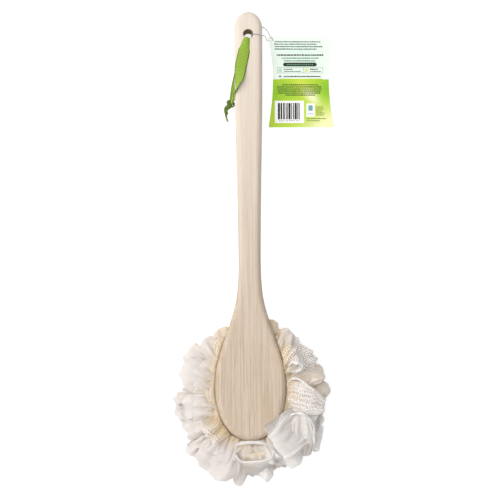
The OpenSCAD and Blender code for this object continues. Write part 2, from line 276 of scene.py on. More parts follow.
# ---- Hanging ribbon ----
# Board-frame route, [x, s, n, width, roll]: out of the hole's top mouth and over the left edge to the knot.
RIBBON_FRONT = [
    [-0.9, 30.2, 7, 12.6, 0], [-0.9, 30.3, 12, 12.6, 0], [-1.2, 31.8, 14.9, 12.6, 0],
    [-2.4, 36, 15.3, 12.8, 0], [-4.2, 45, 15, 12.8, 0], [-6.5, 56, 14.9, 12.8, 0], [-8.6, 66, 15, 12.6, 6],
    [-10, 77, 15.6, 10.8, 24], [-12, 84.5, 15.2, 8.8, 55], [-13.6, 88.5, 14.2, 7.2, 68],
    [-15.9, 91.5, 10.5, 6.4, 82], [-17.1, 94, 5.5, 5.8, 84], [-18.2, 96.4, -1.5, 5.4, 82],
    [-19, 98.5, -8, 5, 80],
]
# Out of the hole's bottom mouth and under the board to the knot.
RIBBON_BACK = [
    [-0.9, 30.2, 7, 10.4, 0], [-0.9, 30.4, 1.5, 10.4, 0], [-1.4, 32.4, -1.2, 10.4, 0],
    [-2.8, 38, -2.4, 10.4, 0], [-6, 49, -3.8, 10.4, 0], [-9.4, 62, -5.4, 10.4, 0],
    [-12.8, 75, -7.2, 10.2, 0], [-16, 87, -8.8, 8.4, 0], [-18.6, 95.5, -9.7, 6, 0], [-19.4, 98.6, -9.8, 5, 0],
]
RIBBON_W = 12.6
RIBBON_T = 0.34
RIB_PITCH = 1.5
RIB_HEIGHT = 0.16
RIBBON_LIE = math.radians(14)
# How far the ribbon is folded lengthwise in the hole, in the knot and between them, in radians, and how soon
# the folds open out
HOLE_FOLD, KNOT_FOLD, LEAST_FOLD = 2.0, 1.2, 0.18
HOLE_FOLD_GONE, KNOT_FOLD_GONE = 30.0, 26.0


def band(name, route, side):
    """A ribbed ribbon along a route, folded lengthwise at its ends. side is which way the folds open."""
    line = smooth_line(route, RIB_PITCH / 6)
    path = line[:, :3]
    travel = unit(np.gradient(path, axis=0))
    roll = np.radians(line[:, 4])[:, None]
    lie = np.array([[math.cos(RIBBON_LIE), math.sin(RIBBON_LIE), 0]])
    wide = square_to(np.cos(roll) * lie + np.sin(roll) * np.array([[0, 0, 1.0]]), travel)
    up = np.cross(travel, wide) * side
    run = run_along(path)
    half = line[:, 3] / 2
    bend = HOLE_FOLD * np.clip(1 - run / HOLE_FOLD_GONE, 0, 1) ** 1.6 + LEAST_FOLD
    bend = bend + KNOT_FOLD * np.clip(1 - (run[-1] - run) / KNOT_FOLD_GONE, 0, 1) ** 1.5
    ribs = RIB_HEIGHT * np.abs(np.sin(np.pi * run / RIB_PITCH))
    places = np.linspace(-1, 1, 17)
    columns, uv = [], []
    for sign in (1, -1):
        for place in places[::sign]:
            # A narrow plain edge on each side of the ribs
            plain = 0.35 if abs(place) > 0.86 else 1.0
            across = half / bend * np.sin(bend * place)
            lift = half / bend * (1 - np.cos(bend * place))
            out = sign * (RIBBON_T / 2 + ribs * plain)
            columns.append(path + across[:, None] * wide + (lift + out)[:, None] * up)
            uv.append(place * RIBBON_W / 2)
    points = np.stack(columns, 1)
    made = make_mesh(name, placed(points.reshape(-1, 3)), grid_faces(*points.shape[:2]),
                     pairs(run[:, None], np.array(uv)))
    return made, placed(path), run[-1]


ribbon_front, front_path, front_len = band("ribbon_front", RIBBON_FRONT, 1)
ribbon_back, back_path, back_len = band("ribbon_back", RIBBON_BACK, -1)

# ---- Clear string of the tag ----
# Board-frame route: up out of the hole, over the right edge, under the card's corner, up through the card's
# hole and back under the board into the hanging hole.
TAG_STRING = [
    [3.7, 26.8, 6], [3.9, 27, 12.8], [5.5, 27.5, 15.2], [9.5, 28.3, 15.6], [14, 29, 15.2],
    [17.5, 29, 12.4], [19.3, 28.6, 8], [19.8, 28.3, 3], [20, 28.3, -0.5], [21.3, 28.8, -2.2],
    [23.5, 29.2, -2.6], [25.8, 29.4, -2.2], [27.3, 29.5, -1.2], [27.3, 29.4, 0.6], [26.2, 28.2, 1.7],
    [23.8, 24.5, 1.9], [20.8, 18.5, 0.8], [17.8, 14.6, -0.4], [14, 13.8, -0.75], [10, 16.5, -0.85],
    [6, 22, -1.1], [4.2, 25.6, -1], [3.6, 26.6, 1.5], [3.65, 26.7, 5],
]
STRING_D = 0.8
string_line = placed(smooth_line(TAG_STRING, 1.0))
string_curve = bpy.data.curves.new("tag_string", "CURVE")
string_curve.dimensions = "3D"
string_curve.bevel_depth = STRING_D / 2 * MM
string_curve.bevel_resolution = 3
string_curve.use_fill_caps = True
spline = string_curve.splines.new("POLY")
spline.points.add(len(string_line) - 1)
for point, at in zip(spline.points, string_line):
    point.co = (*(at * MM), 1)
spline.use_smooth = True
tag_string = bpy.data.objects.new("tag_string", string_curve)
scene.collection.objects.link(tag_string)

# ---- Noise made of a few seeded waves, so that each run is the same ----
def wave_noise(points, seed, short, long, count=14):
    """A smooth random vector at each point, about 1 long, with wavelengths from short to long."""
    rng = np.random.default_rng(seed)
    out = np.zeros_like(points)
    for _ in range(count):
        wave = 2 * np.pi / rng.uniform(short, long) * unit(rng.normal(size=3))
        out += np.sin(points @ wave + rng.uniform(0, 2 * np.pi))[:, None] * unit(rng.normal(size=3))
    return out * math.sqrt(2 / count)


def smoothstep(a, b, x):
    """0 up to a and 1 from b on, with a smooth rise between them."""
    t = np.clip((x - a) / (b - a), 0, 1)
    return t * t * (3 - 2 * t)


def bezier(corners, t):
    """The Bezier curve of any number of corners, at t from 0 to 1."""
    n = len(corners) - 1
    return sum(math.comb(n, i) * ((1 - t) ** (n - i) * t**i)[:, None] * p for i, p in enumerate(corners))


def course(corners, count):
    """The length of a Bezier curve, and a function for its points and its travel at distances along it."""
    t = np.linspace(0, 1, count)
    centre = bezier(corners, t)
    run = run_along(centre)
    slope = np.gradient(centre, axis=0)

    def at(far):
        travel = np.stack([np.interp(far, run, part) for part in slope.T], -1)
        return bezier(corners, np.interp(far, run, t)), unit(travel)

    return run[-1], at


# ---- The board's outline, which the netting keeps clear of ----
# Places along the board, and its half width there
STATIONS = np.array([
    [0, 0], [2.3, 7.3], [8, 12.5], [18.5, 15.2], [60, 15], [135, 14.1], [190, 12.9], [262, 11.7], [290, 11.9],
    [315, 14.2], [336, 19.6], [359, 27.4], [382, 34.4], [405, 36.7], [416, 36.2], [427, 33.9], [439, 30.2],
    [450, 23.4], [456, 16.5], [459, 9], [BOARD_LEN, 0],
])
RIGHT_SIDE = STATIONS[:, ::-1]
OUTLINE = smooth_line(np.vstack([RIGHT_SIDE, RIGHT_SIDE[-2::-1] * [-1, 1]]), 3.0)[:, :2]
# Where netting starts to come near the board
PADDLE_S = 240

# Signed distance from the outline at the points of a grid, one millimetre apart, below 0 inside
GRID_LOW = np.array([-130.0, 230.0])
GRID_COUNT = (261, 331)
grid_x, grid_s = np.indices(GRID_COUNT) + GRID_LOW[:, None, None]
edge_far = np.full(grid_x.shape, 1e9)
for p, q in zip(OUTLINE[:-1], OUTLINE[1:]):
    line = q - p
    share = np.clip(((grid_x - p[0]) * line[0] + (grid_s - p[1]) * line[1]) / max(line @ line, 1e-9), 0, 1)
    edge_far = np.minimum(edge_far, np.hypot(grid_x - p[0] - share * line[0], grid_s - p[1] - share * line[1]))
half_there = np.interp(grid_s, STATIONS[:, 0], STATIONS[:, 1], left=0, right=0)
edge_far = np.where((np.abs(grid_x) < half_there) & (grid_s < BOARD_LEN), -edge_far, edge_far)
edge_slope = np.gradient(edge_far)


def on_grid(values, xs):
    """A grid's values at board-frame (x, s) points, from the four grid points round each."""
    at = np.clip(xs - GRID_LOW, 0, np.array(values.shape) - 1.001)
    i, f = at.astype(int), at % 1
    x, y = i[:, 0], i[:, 1]
    low = values[x, y] * (1 - f[:, 0]) + values[x + 1, y] * f[:, 0]
    high = values[x, y + 1] * (1 - f[:, 0]) + values[x + 1, y + 1] * f[:, 0]
    return low * (1 - f[:, 1]) + high * f[:, 1]


def from_edge(xs):
    """Distance of board-frame (x, s) points outside the board's outline, below 0 inside, and the way out."""
    return on_grid(edge_far, xs), unit(np.stack([on_grid(g, xs) for g in edge_slope], -1))


def clear_of_board(p, over):
    """Moves points that are in the board, or above it, to just under it or just outside its edge. Those that
    may lie over it go up instead where that is nearest."""
    b = on_board(p)
    margin = 0.1
    low = np.flatnonzero((b[:, 2] > -margin) & (b[:, 1] > PADDLE_S))
    far, way_out = from_edge(b[low, :2])
    take = far < margin
    low, far, way_out = low[take], far[take], way_out[take]
    down, out, up, over = b[low, 2] + margin, margin - far, BOARD_T + margin - b[low, 2], over[low]
    rise = over & (up <= np.minimum(down, out))
    clear = over & (up <= 0)
    sink = ~rise & ~clear & (down <= out)
    slide = ~rise & ~clear & ~sink
    b[low[rise], 2] = BOARD_T + margin
    b[low[sink], 2] = -margin
    # A little further than the edge, since the way out bends on the way
    b[low[slide], :2] += way_out[slide] * 1.06 * out[slide, None]
    return placed(b)


# ---- Pouf: loops of flattened netting tube, pinched at the waist and turned over at their tips ----
FLOOR_GAP = 0.4
FLOOR_SOFT = 5


class Strip:
    """Collects the folds of one strip of netting as one mesh."""

    def __init__(self, name):
        self.name, self.count = name, 0
        self.points, self.faces, self.uv, self.tone, self.over = [], [], [], [], []

    def add(self, points, rows, uv, tone, over=False):
        """Adds rows of points, each of them closed. tone is how dark they are, and over lets them lie over the
        board."""
        self.points.append(points)
        self.faces.append(grid_faces(rows, len(points) // rows) + self.count)
        self.uv.append(uv)
        self.tone.append(np.broadcast_to(tone, len(points)))
        self.over.append(np.full(len(points), over))
        self.count += len(points)

    def build(self):
        lap = np.concatenate(self.over)
        p = clear_of_board(np.vstack(self.points), lap)
        soft_from = FLOOR_GAP + FLOOR_SOFT
        low = p[:, 2] < soft_from
        p[low, 2] = FLOOR_GAP + FLOOR_SOFT * np.exp((p[low, 2] - soft_from) / FLOOR_SOFT)
        b = on_board(p)
        far, _ = from_edge(b[:, :2])
        # Painted shade: 0, tan and darker, deep between the folds and next to the board where shade falls, and 1,
        # pale, out in the open
        light = smoothstep(-4, 24, far) * 0.75 + 0.25 * smoothstep(-10, 14, b[:, 2])
        light = np.minimum(light + smoothstep(26, 42, far) * 0.4, 1)
        # Painted light: pale again on the washing side, and where it laps over the board. Then each fold's tone
        # is taken off, which is partly its own colour, partly painted shade where it is darker and painted light
        # where it is paler.
        light = np.maximum(light, 0.95 * smoothstep(10, 32, -b[:, 2]))
        light = np.maximum(light, 0.95 * lap * smoothstep(6, 13, b[:, 2])) - np.concatenate(self.tone)
        return make_mesh(self.name, p, np.vstack(self.faces), np.vstack(self.uv), light=light)


def wrinkles(share, q, pleats, depth, rng):
    """Folds that fan out from the waist: many and fine there, few and broad at the tip."""
    out = np.zeros(np.broadcast_shapes(share.shape, q.shape))
    for count, low, high, size in ((3.2, -0.2, 0.6, 0.45), (1.7, 0.1, 0.95, 0.85), (0.8, 0.35, 1.5, 1.0)):
        here = smoothstep(low, low + 0.25, share) * (1 - smoothstep(high - 0.3, high, share))
        here = here * smoothstep(-0.03, 0.15, share)
        for _ in range(2):
            waves = count * pleats * rng.uniform(0.75, 1.25)
            a, b, c = rng.uniform(0, 2 * np.pi, 3)
            turn = np.pi * waves * (q + 0.1 * np.sin(2.1 * q + a) + 0.06 * np.sin(5 * share + b)) + c
            line = np.sin(turn)
            out = out + 0.6 * size * here * (line - 0.35 * line**2)
    return out * depth


def rucks(along, round_, seed, count=26):
    """Fine creases that run along a loop: along and round_ are millimetres along it and round the tube."""
    rng = np.random.default_rng(seed)
    out = np.zeros(np.broadcast_shapes(along.shape, round_.shape))
    for _ in range(count):
        cross = 2 * np.pi / rng.uniform(3.2, 9.0) * rng.choice([-1, 1])
        down = 2 * np.pi / rng.uniform(16, 60) * rng.choice([-1, 1])
        line = np.sin(cross * round_ + down * along + rng.uniform(0, 2 * np.pi))
        out = out + line / abs(cross)
    return out / math.sqrt(count) * 1.4


# Thickness of a loop's wall, and the half width of its waist
WALL = 1.6
WAIST = 2.6


def fold(strip, base, lift, over, tip, half_w, thick, seed, base_w=WAIST, pleats=3.0, depth=2.0, round_=0.3,
         peak=0.0, wave=1.2, dome=0.12, roll=0.0, wide=None, tone=0.0, lap=False, crumple=1.0, bulge=0.0,
         ruck=1.0):
    """One loop of netting tube, from base by way of lift and over to tip. half_w and thick are its half width
    and its height at the tip, and base_w its half width at the base. pleats and depth are the number and depth
    of its wrinkles, and round_, peak and wave give its outline: rounded, with a corner drawn out, or frilled.
    dome and bulge swell it upwards and sideways, wide or roll turns its tip, crumple and ruck are its coarse
    and fine unevenness, tone is how dark it is, and lap lets it lie over the board."""
    rng = np.random.default_rng(seed)
    length, course_at = course((base, lift, over, tip), 120)
    n_leg, n_cap, n_round = 26, 13, 72
    half_h = thick / 2
    # Once round the loop: out along its upper leg, over its tip and back along the lower leg
    leg = np.linspace(0, 1, n_leg) ** 0.85 * (length - half_h)
    cap = np.linspace(np.pi / 2, -np.pi / 2, n_cap)[1:-1]
    far = np.r_[leg, length - half_h + half_h * np.cos(cap), leg[::-1]]
    side = np.r_[np.ones(n_leg), np.sin(cap), -np.ones(n_leg)]
    share = np.clip(far / length, 0, 1)
    high = half_h * side * smoothstep(-0.1, 0.8, share)
    middle_line, tangent = course_at(far)
    flat = tip - base
    across = np.cross(NORMAL, unit(flat - (flat @ NORMAL) * NORMAL))
    if wide is None:
        final = math.cos(math.radians(roll)) * across + math.sin(math.radians(roll)) * NORMAL
    else:
        final = unit(wide) * np.sign(unit(wide) @ across)
    w = square_to(across * (1 - share[:, None]) + final * share[:, None], tangent)
    up = np.cross(tangent, w)
    # q is -1 to 1 across the tube, layer its upper or lower wall, and S 0 to 1 from the waist to the tip
    turn = circle(n_round)
    q = flattened(np.cos(turn), 0.9)[None, :]
    layer = flattened(np.sin(turn), 0.6)[None, :]
    S = share[:, None]
    width = base_w + (half_w - base_w) * (1 - (1 - S) ** 1.5)
    width = width * (1 + bulge * np.sin(np.pi * S))
    width = width * (1 - 0.25 * smoothstep(0.7, 1.0, S) * round_)
    # The two legs of the loop have wrinkles of their own, which meet at the tip
    swap = smoothstep(0.4, 0.6, np.linspace(0, 1, len(far))[:, None])
    first, second = (wrinkles(S, q, pleats, depth, rng) for _ in range(2))
    rise = first * (1 - swap) + second * swap
    rise = rise + dome * half_w * S * (1 - q**2) * np.where(side > 0, 1, -0.3)[:, None]
    # Outline of the tip
    a, b = rng.uniform(0, 2 * np.pi, 2)
    skew = rng.uniform(-0.15, 0.15)
    corner = abs(peak) * smoothstep(0.55, 1.0, q if peak > 0 else -q)
    pull = round_ * (0.35 * q**2 + 0.65 * np.abs(q) ** 3.2) + skew * q * 0.6 - corner
    waves = np.sin(pleats * 0.9 * np.pi * q + a) + 0.5 * np.sin(pleats * 1.9 * np.pi * q + b)
    reach = -half_w * pull * smoothstep(0.2, 1.0, S) + wave * S**4 * waves
    # The way square to the loop's line, for the thickness of its wall
    out_far, out_high = np.gradient(high), np.gradient(far)
    size = np.maximum(np.hypot(out_far, out_high), 1e-6)
    out_far, out_high = (out_far / size)[:, None], (out_high / size)[:, None]
    path_run = run_along(np.stack([far, high], -1))[:, None]
    round_mm = turn[None, :] / (2 * np.pi) * 4 * half_w
    fine = rucks(path_run, round_mm, seed + 5) * ruck * smoothstep(0, 0.2, S) * (1 - 0.75 * S**2)
    puff = WALL / 2 * layer * (0.5 + 0.7 * S) + fine
    off_high = high[:, None] * (1 - 0.45 * np.abs(q) ** 3) + rise + out_high * puff
    points = swept(middle_line, (tangent, reach - out_far * puff), (w, q * width), (up, off_high))
    points = points.reshape(-1, 3)
    weight = (0.08 + 0.92 * np.repeat(share, n_round))[:, None] * crumple
    points = points + weight * (2.6 * wave_noise(points, seed + 1, 22, 45)
                                + 0.75 * wave_noise(points, seed + 2, 9, 16)
                                + 0.12 * wave_noise(points, seed + 3, 4, 7))
    # Painted shade: the valleys of the wrinkles are darker and warmer, as shade falls in them, and their crests a
    # little paler
    wrinkle_shade = np.clip(-(rise + 1.5 * fine) * np.where(side > 0, 1, -1)[:, None] / 2.5, -0.3, 1) * 0.3
    strip.add(points, len(far), pairs(path_run, round_mm), tone + wrinkle_shade.ravel(), lap)


def open_end(strip, base, over, tip, wide, rx, ry, seed, tone, inner_tone, rough, lip=1.0, start=5.0):
    """The cut end of the netting tube: a wall that widens from its start to its mouth, of half sizes rx and ry,
    turns in over a soft rim and goes back. rough is how ruffled it is, and inner_tone how much darker inside, as
    painted shade."""
    rng = np.random.default_rng(seed)
    length, course_at = course((base, over, tip), 90)
    n_wall, n_rim, n_in, n_round = 24, 9, 14, 84
    rim = np.linspace(0, np.pi, n_rim + 2)[1:-1]
    far = np.r_[np.linspace(0, length - lip, n_wall), length - lip + lip * np.sin(rim),
                np.linspace(length - lip, length * 0.35, n_in)]
    inset = np.r_[np.zeros(n_wall), lip * (1 - np.cos(rim)), np.full(n_in, 2 * lip)]
    middle_line, tangent = course_at(far)
    w = square_to(np.broadcast_to(unit(wide), tangent.shape), tangent)
    up = np.cross(tangent, w)
    turn = circle(n_round)[None, :]
    S = (far / length)[:, None]
    grow = 1 - (1 - S) ** 1.6
    a, b, c = rng.uniform(0, 2 * np.pi, 3)
    ruff = 1 + rough * (0.06 * S * np.sin(3 * turn + a) + 0.05 * np.sin(7 * turn + b + 3 * S)
                        + 0.03 * np.sin(13 * turn + c))
    half_x = (start + (rx - start) * grow) * ruff - inset[:, None]
    half_y = (start * 0.4 + (ry - start * 0.4) * grow) * ruff - inset[:, None]
    frill = 1.3 * S**3 * np.sin(2 * turn + b) + 0.8 * S**3 * np.sin(5 * turn + a)
    points = swept(middle_line, (w, half_x * np.cos(turn)), (up, half_y * np.sin(turn)), (tangent, frill))
    points = points.reshape(-1, 3)
    points = points + 0.9 * wave_noise(points, seed + 1, 18, 34) + 0.35 * wave_noise(points, seed + 2, 7, 12)
    uv = pairs(run_along(np.stack([far, inset], -1))[:, None], turn * (rx + ry) / 2)
    # Painted shade and highlight: the inside darker by inner_tone, as shade in the mouth, and the rim paler, as a
    # lit edge.
    inside = tone + inner_tone * np.linspace(0.2, 1, n_in)
    shade = np.r_[np.full(n_wall, tone), np.full(n_rim, tone - 0.3), inside]
    strip.add(points, len(far), uv, np.repeat(shade, n_round))


# The pouf's middle as it looks from above, on the floor, and how far from it the folds are gathered
MIDDLE = np.array([0.3, -176.4])
GATHERED_R = 8.8


def spoke(turn, reach, n):
    """The point at height n that looks from above as far as reach from the pouf's middle, turn degrees
    anticlockwise from the right."""
    a = math.radians(turn) + CAMERA_TURN
    return above(MIDDLE[0] + reach * math.cos(a), MIDDLE[1] + reach * math.sin(a), n)


def petal(strip, turn, reach, half, n_tip, seed, n_base=-8.0, n_lift=-10.0, n_over=8.0, swing=0.0, thick=12.0,
          **more):
    """A fold that points out from the pouf's middle to reach, half wide on each side. Its base, its lift, its
    over and its tip are at the heights n, and swing is how far round from its tip its base is."""
    fold(strip, spoke(turn + swing, GATHERED_R, n_base), spoke(turn + swing * 0.6, reach * 0.5, n_lift),
         spoke(turn, reach * 0.74 + GATHERED_R / 2, n_over), spoke(turn, reach, n_tip), half, thick, seed, **more)


back = Strip("netting_back")
back_loofah = Strip("loofah_back")
side_strip = Strip("netting_side")
front_loofah = Strip("loofah_front")
front = Strip("netting_front")
middle = Strip("netting_centre")


def tone_at(turn, pale_from, plain):
    """The tone of a fold of the top tier: warm to the board's right, and pale below it and to its lower right, as
    painted light on folds that fall in shade there.
    """
    if 10 <= turn <= 26:
        return 0.45
    return -0.25 if pale_from < turn < 350 else plain


# Folds that give the outline: turn, reach, half width, tip height, tip roll, roundness, peak, swing
OUTLINE_FOLDS = [
    (111, 85.2, 15.9, -6, 6, 0.45, 0, 6), (126, 84.7, 12.7, -2, -10, 0.45, 0, -4),
    (139, 89.1, 11.7, -10, -14, 0.35, 0.28, 0), (154, 81.4, 20.1, -4, 6, 0.5, 0, 5),
    (176, 83.1, 8.5, -24, 18, 0.7, 0, 0), (184, 71.5, 15.9, -8, -8, 0.4, 0, -6),
    (203, 74.2, 12.7, -12, 12, 0.45, 0, 5), (219, 88, 9.5, -16, -22, 0.5, 0.2, 0),
    (236, 88, 20.1, -12, 6, 0.5, 0, -6), (247, 91.3, 13.8, -8, -10, 0.5, 0, 4),
    (262, 89.7, 8.5, -20, -14, 0.55, 0.15, 0), (281, 84.7, 10.6, -18, 20, 0.5, -0.2, 6),
    (297, 75.9, 9.5, -16, -10, 0.5, 0, -4), (308, 80.3, 12.7, -6, 8, 0.55, 0, 4),
    (331, 86.9, 14.8, -10, -10, 0.3, -0.2, -5), (346, 78.1, 10.6, -18, 14, 0.45, 0, 4),
    (358, 79.2, 11.7, -12, -6, 0.45, 0, -3), (11, 84.7, 11.7, -6, 8, 0.45, 0, 4),
    (23, 84.7, 12.7, -2, -8, 0.45, 0, -4), (62, 88, 12.7, -2, -8, 0.5, 0, 4),
    (75, 93, 7.4, -6, 12, 0.5, 0, 0), (95, 81.4, 12.7, -24, 0, 0.4, 0, 0),
]
for i, (turn, reach, half, n_tip, roll, round_, peak, swing) in enumerate(OUTLINE_FOLDS):
    petal(back, turn, reach, half, n_tip, 100 + 7 * i, n_over=n_tip + 13, roll=roll, round_=round_, peak=peak,
          thick=10, pleats=2.2, depth=1.1, swing=2.5 * swing, wave=0.4, ruck=0.6, crumple=0.8,
          tone=tone_at(turn, 270, 0.0))
petal(back_loofah, 40, 86.4, 17, 0, 95, n_over=12, roll=4, round_=0.5, depth=1.4, wave=0.8)

# Folds nearer the board, which stand higher: turn, reach, half width, tip height, over height, roll, swing
UPPER_FOLDS = [
    (122, 74.8, 14.8, -6, 3, -8, 6), (145, 70.4, 17, 1, 10, 14, -6), (162, 66, 12.7, 1, 11, -20, 12),
    (177, 62.7, 12.7, 0, 10, 16, -10), (191, 61.6, 12.7, 2, 11, -12, 8), (206, 66, 10.6, -2, 7, -18, -6),
    (231, 72.6, 13.8, -3, 6, 12, 8), (243, 70.4, 11.7, -3, 6, -16, -8), (256, 72.6, 10.6, -8, 0, 14, 8),
    (288, 69.3, 10.6, 0, 8, 10, -8), (300, 68.2, 10.6, 4, 12, -14, 8), (341, 73.7, 12.7, 0, 10, -12, 6),
    (10, 75.9, 12.7, -6, 4, 18, -8), (26, 70.4, 10.6, 2, 10, -14, 8), (64, 78.1, 10.6, 2, 10, 8, -6),
    (53, 66, 9.5, 8, 16, 0, 0),
]
for i, (turn, reach, half, n_tip, n_over, roll, swing) in enumerate(UPPER_FOLDS):
    petal(back, turn, reach, half, n_tip, 300 + 7 * i, n_base=-5, n_lift=-6, n_over=n_over, roll=roll, thick=8,
          pleats=2.6, depth=1.3, round_=0.45, tone=tone_at(turn, 250, 0.04), swing=2 * swing, ruck=0.7,
          crumple=0.8)

# A low inner ring close to the board's edge, which leaves its neck free. Every third fold is coarse, but not
# the one under the board's tip.
RING_COUNT = 18
UNDER_TIP = 13
rng = np.random.default_rng(11)
for i in range(RING_COUNT):
    turn = i * 360 / RING_COUNT + rng.uniform(-6, 6)
    if 75 < turn < 108:
        continue
    edge = 42.9 + 6.6 * math.sin(math.radians(turn)) ** 2
    strip = back_loofah if i % 3 == 1 and i != UNDER_TIP else back
    petal(strip, turn, edge + rng.uniform(9.9, 16.5), rng.uniform(10.6, 13.8), rng.uniform(-3, 3), 700 + 7 * i,
          n_base=-4, n_lift=-6, n_over=rng.uniform(0, 6), roll=rng.uniform(-20, 20), thick=6, depth=1.2,
          round_=0.4, tone=0.12, swing=rng.uniform(-15, 15))

# Coarse folds between and on top of those: turn, reach, half width, tip height, over height, roll, tone
LOOFAH_FOLDS = [
    (215, 60.5, 15.9, 8, 13, 0, 0.3), (50, 72.6, 11.7, 12, 20, 12, 0.1), (100, 66, 12.7, -16, -10, 0, 0.3),
    (165, 59.4, 12.7, -2, 6, 0, 0.3), (236, 59.4, 11.7, -6, -2, 8, -0.1), (20, 61.6, 10.6, 0, 8, 0, 0.25),
    (305, 63.8, 11.7, 0, 8, 0, 0.2), (80, 68.2, 10.6, -12, -4, 0, 0.3), (135, 61.6, 12.7, -2, 6, 0, 0.05),
]
for i, (turn, reach, half, n_tip, n_over, roll, tone) in enumerate(LOOFAH_FOLDS):
    petal(back_loofah, turn, reach, half, n_tip, 500 + 7 * i, n_base=-4, n_lift=-5, n_over=n_over, roll=roll,
          thick=8, depth=1.3, round_=0.35, tone=tone)

# The broad coarse fold by the board's right edge
fold(back_loofah, above(31.2, -169.4, -6), above(41.1, -169.5, 10), above(60.8, -174, 21),
     above(80.1, -180.8, 6), 10.1, 8, 951, base_w=13, bulge=0.5, pleats=2.2, depth=0.9, round_=0.25,
     wide=[-0.3, 0.95, 0.1], dome=0.08, tone=-0.05, wave=0.3, crumple=0.5, ruck=0.6)

# The folds by the board's lower right corner: a broad flap that laps over it, and an arched lobe behind that
fold(back, above(68.5, -187.3, -8), above(61.8, -194.9, 8), above(46.3, -209.1, 20.5),
     above(26.4, -222.7, 16.2), 21.7, 4, 901, base_w=12, bulge=0.1, pleats=3.4, depth=1.2, round_=0.05,
     wide=[0.62, -0.78, 0.0], lap=True, dome=0.06, tone=-0.12, wave=0.3, crumple=0.6, ruck=1.2)
fold(back, above(56, -235.6, -14), above(59.4, -229, 2), above(57.3, -214.7, 18), above(54.7, -191.6, 12),
     13.3, 6, 911, base_w=7, pleats=2.0, depth=0.9, round_=0.5, wide=[0.98, -0.1, 0.1], lap=True, dome=0.1,
     tone=-0.05, wave=0.3, crumple=0.6, ruck=1.1)
# Cut ends of the tube: under the board's tip, with a fold inside it, and by its right edge
open_end(back, above(5.3, -255, -24), above(4.3, -244, -4), above(3.8, -232.5, 11), ACROSS, 21.2, 9.5, 931,
         tone=-0.1, inner_tone=0.28, rough=0.45)
# The fold inside the mouth is darker and tan, as painted shade.
fold(back, above(5.3, -250.6, -18), above(5.3, -246.2, -6), above(5.4, -241.8, 3), above(3.2, -230.8, 6), 15.4,
     5, 937, pleats=2.2, depth=0.7, tone=0.48, wave=0.3, dome=0.1)
open_end(back_loofah, above(47, -105.7, -6), above(51.3, -126.7, 6), above(47.9, -138.2, 20), [0.85, 0.45, 0.1],
         9, 7.5, 941, tone=-0.45, inner_tone=-0.4, lip=1.2, rough=0.8)

# A collar of netting gathered up against the board's edge
COLLAR_TOP = 9.4


def collar(strip, low_s, high_s, way_x, out, seed, tone):
    """Folded netting along the outline between two stations, on the side that way_x points to. It goes out from
    the edge by out, and up beside it to COLLAR_TOP."""
    rng = np.random.default_rng(seed)
    side = OUTLINE[:len(OUTLINE) // 2]
    line = side[(side[:, 1] > low_s) & (side[:, 1] < high_s)][::2] * [way_x, 1]
    line = smooth_line(line, 0.9)
    way = unit(np.stack([np.gradient(line[:, 1]), -np.gradient(line[:, 0])], -1)) * way_x
    run = run_along(line)[:, None]
    ends = smoothstep(0, 14, run) * smoothstep(0, 14, run[-1] - run)
    a, b, c = rng.uniform(0, 6.3, 3)
    swell = 1 + 0.25 * np.sin(run / 4.1 + a) + 0.2 * np.sin(run / 6.7 + b)
    # A section with square corners, so that its top starts beside the board
    turn = circle(36)
    u = 0.5 * (1 + flattened(np.cos(turn), 0.35))
    v = flattened(np.sin(turn), 0.5)
    off = 0.12 + out * (0.3 + 0.7 * ends) * swell * u
    pleat = 0.55 * np.sin(run * 1.7 + 1.5 * u + c) + 0.4 * np.sin(run * 1.05 + 3 * u + a)
    n = COLLAR_TOP - (1 - ends) * 9 - (2 + 5 * ends) * (1 - v) - 3.2 * u**1.5 + pleat * (0.25 + 0.75 * u)
    flat = swept(line, (way, off))
    points = placed(np.concatenate([flat, n[..., None]], -1).reshape(-1, 3))
    points = points + 0.35 * np.tile(u, len(line))[:, None] * wave_noise(points, seed + 1, 9, 18)
    strip.add(points, len(line), pairs(run, turn * 5), tone)


# The collars are a little darker, as painted shade beside the board.
collar(back, 352, 450, 1, 7, 61, 0.2)
collar(back, 345, 450, -1, 10, 62, 0.12)


# Rolled creases where the cloth turns over sharply
def crease(strip, r, seed, route):
    """A rolled edge of netting over the points of route, r in radius."""
    line = smooth_line([above(*p) for p in route], 0.8)
    travel = unit(np.gradient(line, axis=0))
    wide = unit(np.cross(travel, NORMAL))
    high = np.cross(wide, travel)
    run = np.linspace(0, 1, len(line))[:, None]
    thin = np.sin(np.pi * np.clip(run, 0.02, 0.98)) ** 0.5 * (1 + 0.18 * np.sin(run * len(line) * 0.45 + seed))
    turn = circle(12)
    points = swept(line, (wide, r * 1.15 * thin * np.cos(turn)), (high, r * thin * np.sin(turn))).reshape(-1, 3)
    points = points + 0.3 * wave_noise(points, seed, 5, 11)
    # Painted highlight: the rolled edges are made much paler than the cloth round them, as lit edges.
    strip.add(points, len(line), pairs(run * len(line) * 0.8, turn * r), -0.7, True)


crease(back, 1.5, 31, [(40.9, -192.6, 13), (47.5, -188.8, 15), (56.3, -189.4, 15.5), (63.5, -193.8, 15.5),
                       (68.3, -202.7, 15), (69.4, -212.6, 14), (69.3, -224.7, 10)])
crease(back, 1.0, 32, [(15, -205.1, 16), (21, -213.3, 16.8), (26.4, -222.2, 17.2), (33, -230.5, 16.4),
                       (40.6, -237.1, 14)])
crease(back, 0.9, 36, [(15, -205.1, 16), (22.2, -200.2, 17), (29.9, -195.3, 16.5), (35.4, -193.6, 14)])
crease(back_loofah, 1.2, 33, [(40.6, -157.4, 14), (43.4, -151.9, 16), (50, -150.3, 18), (58.8, -155.3, 19),
                              (67.5, -162, 18), (77.4, -171.4, 12)])
crease(back, 1.8, 35, [(-19.8, -224.6, 7.5), (-12.1, -221.7, 9), (-2.2, -220.2, 9.6), (8.8, -220.5, 9.6),
                       (16.5, -222.1, 9.2), (22, -225.5, 8)])

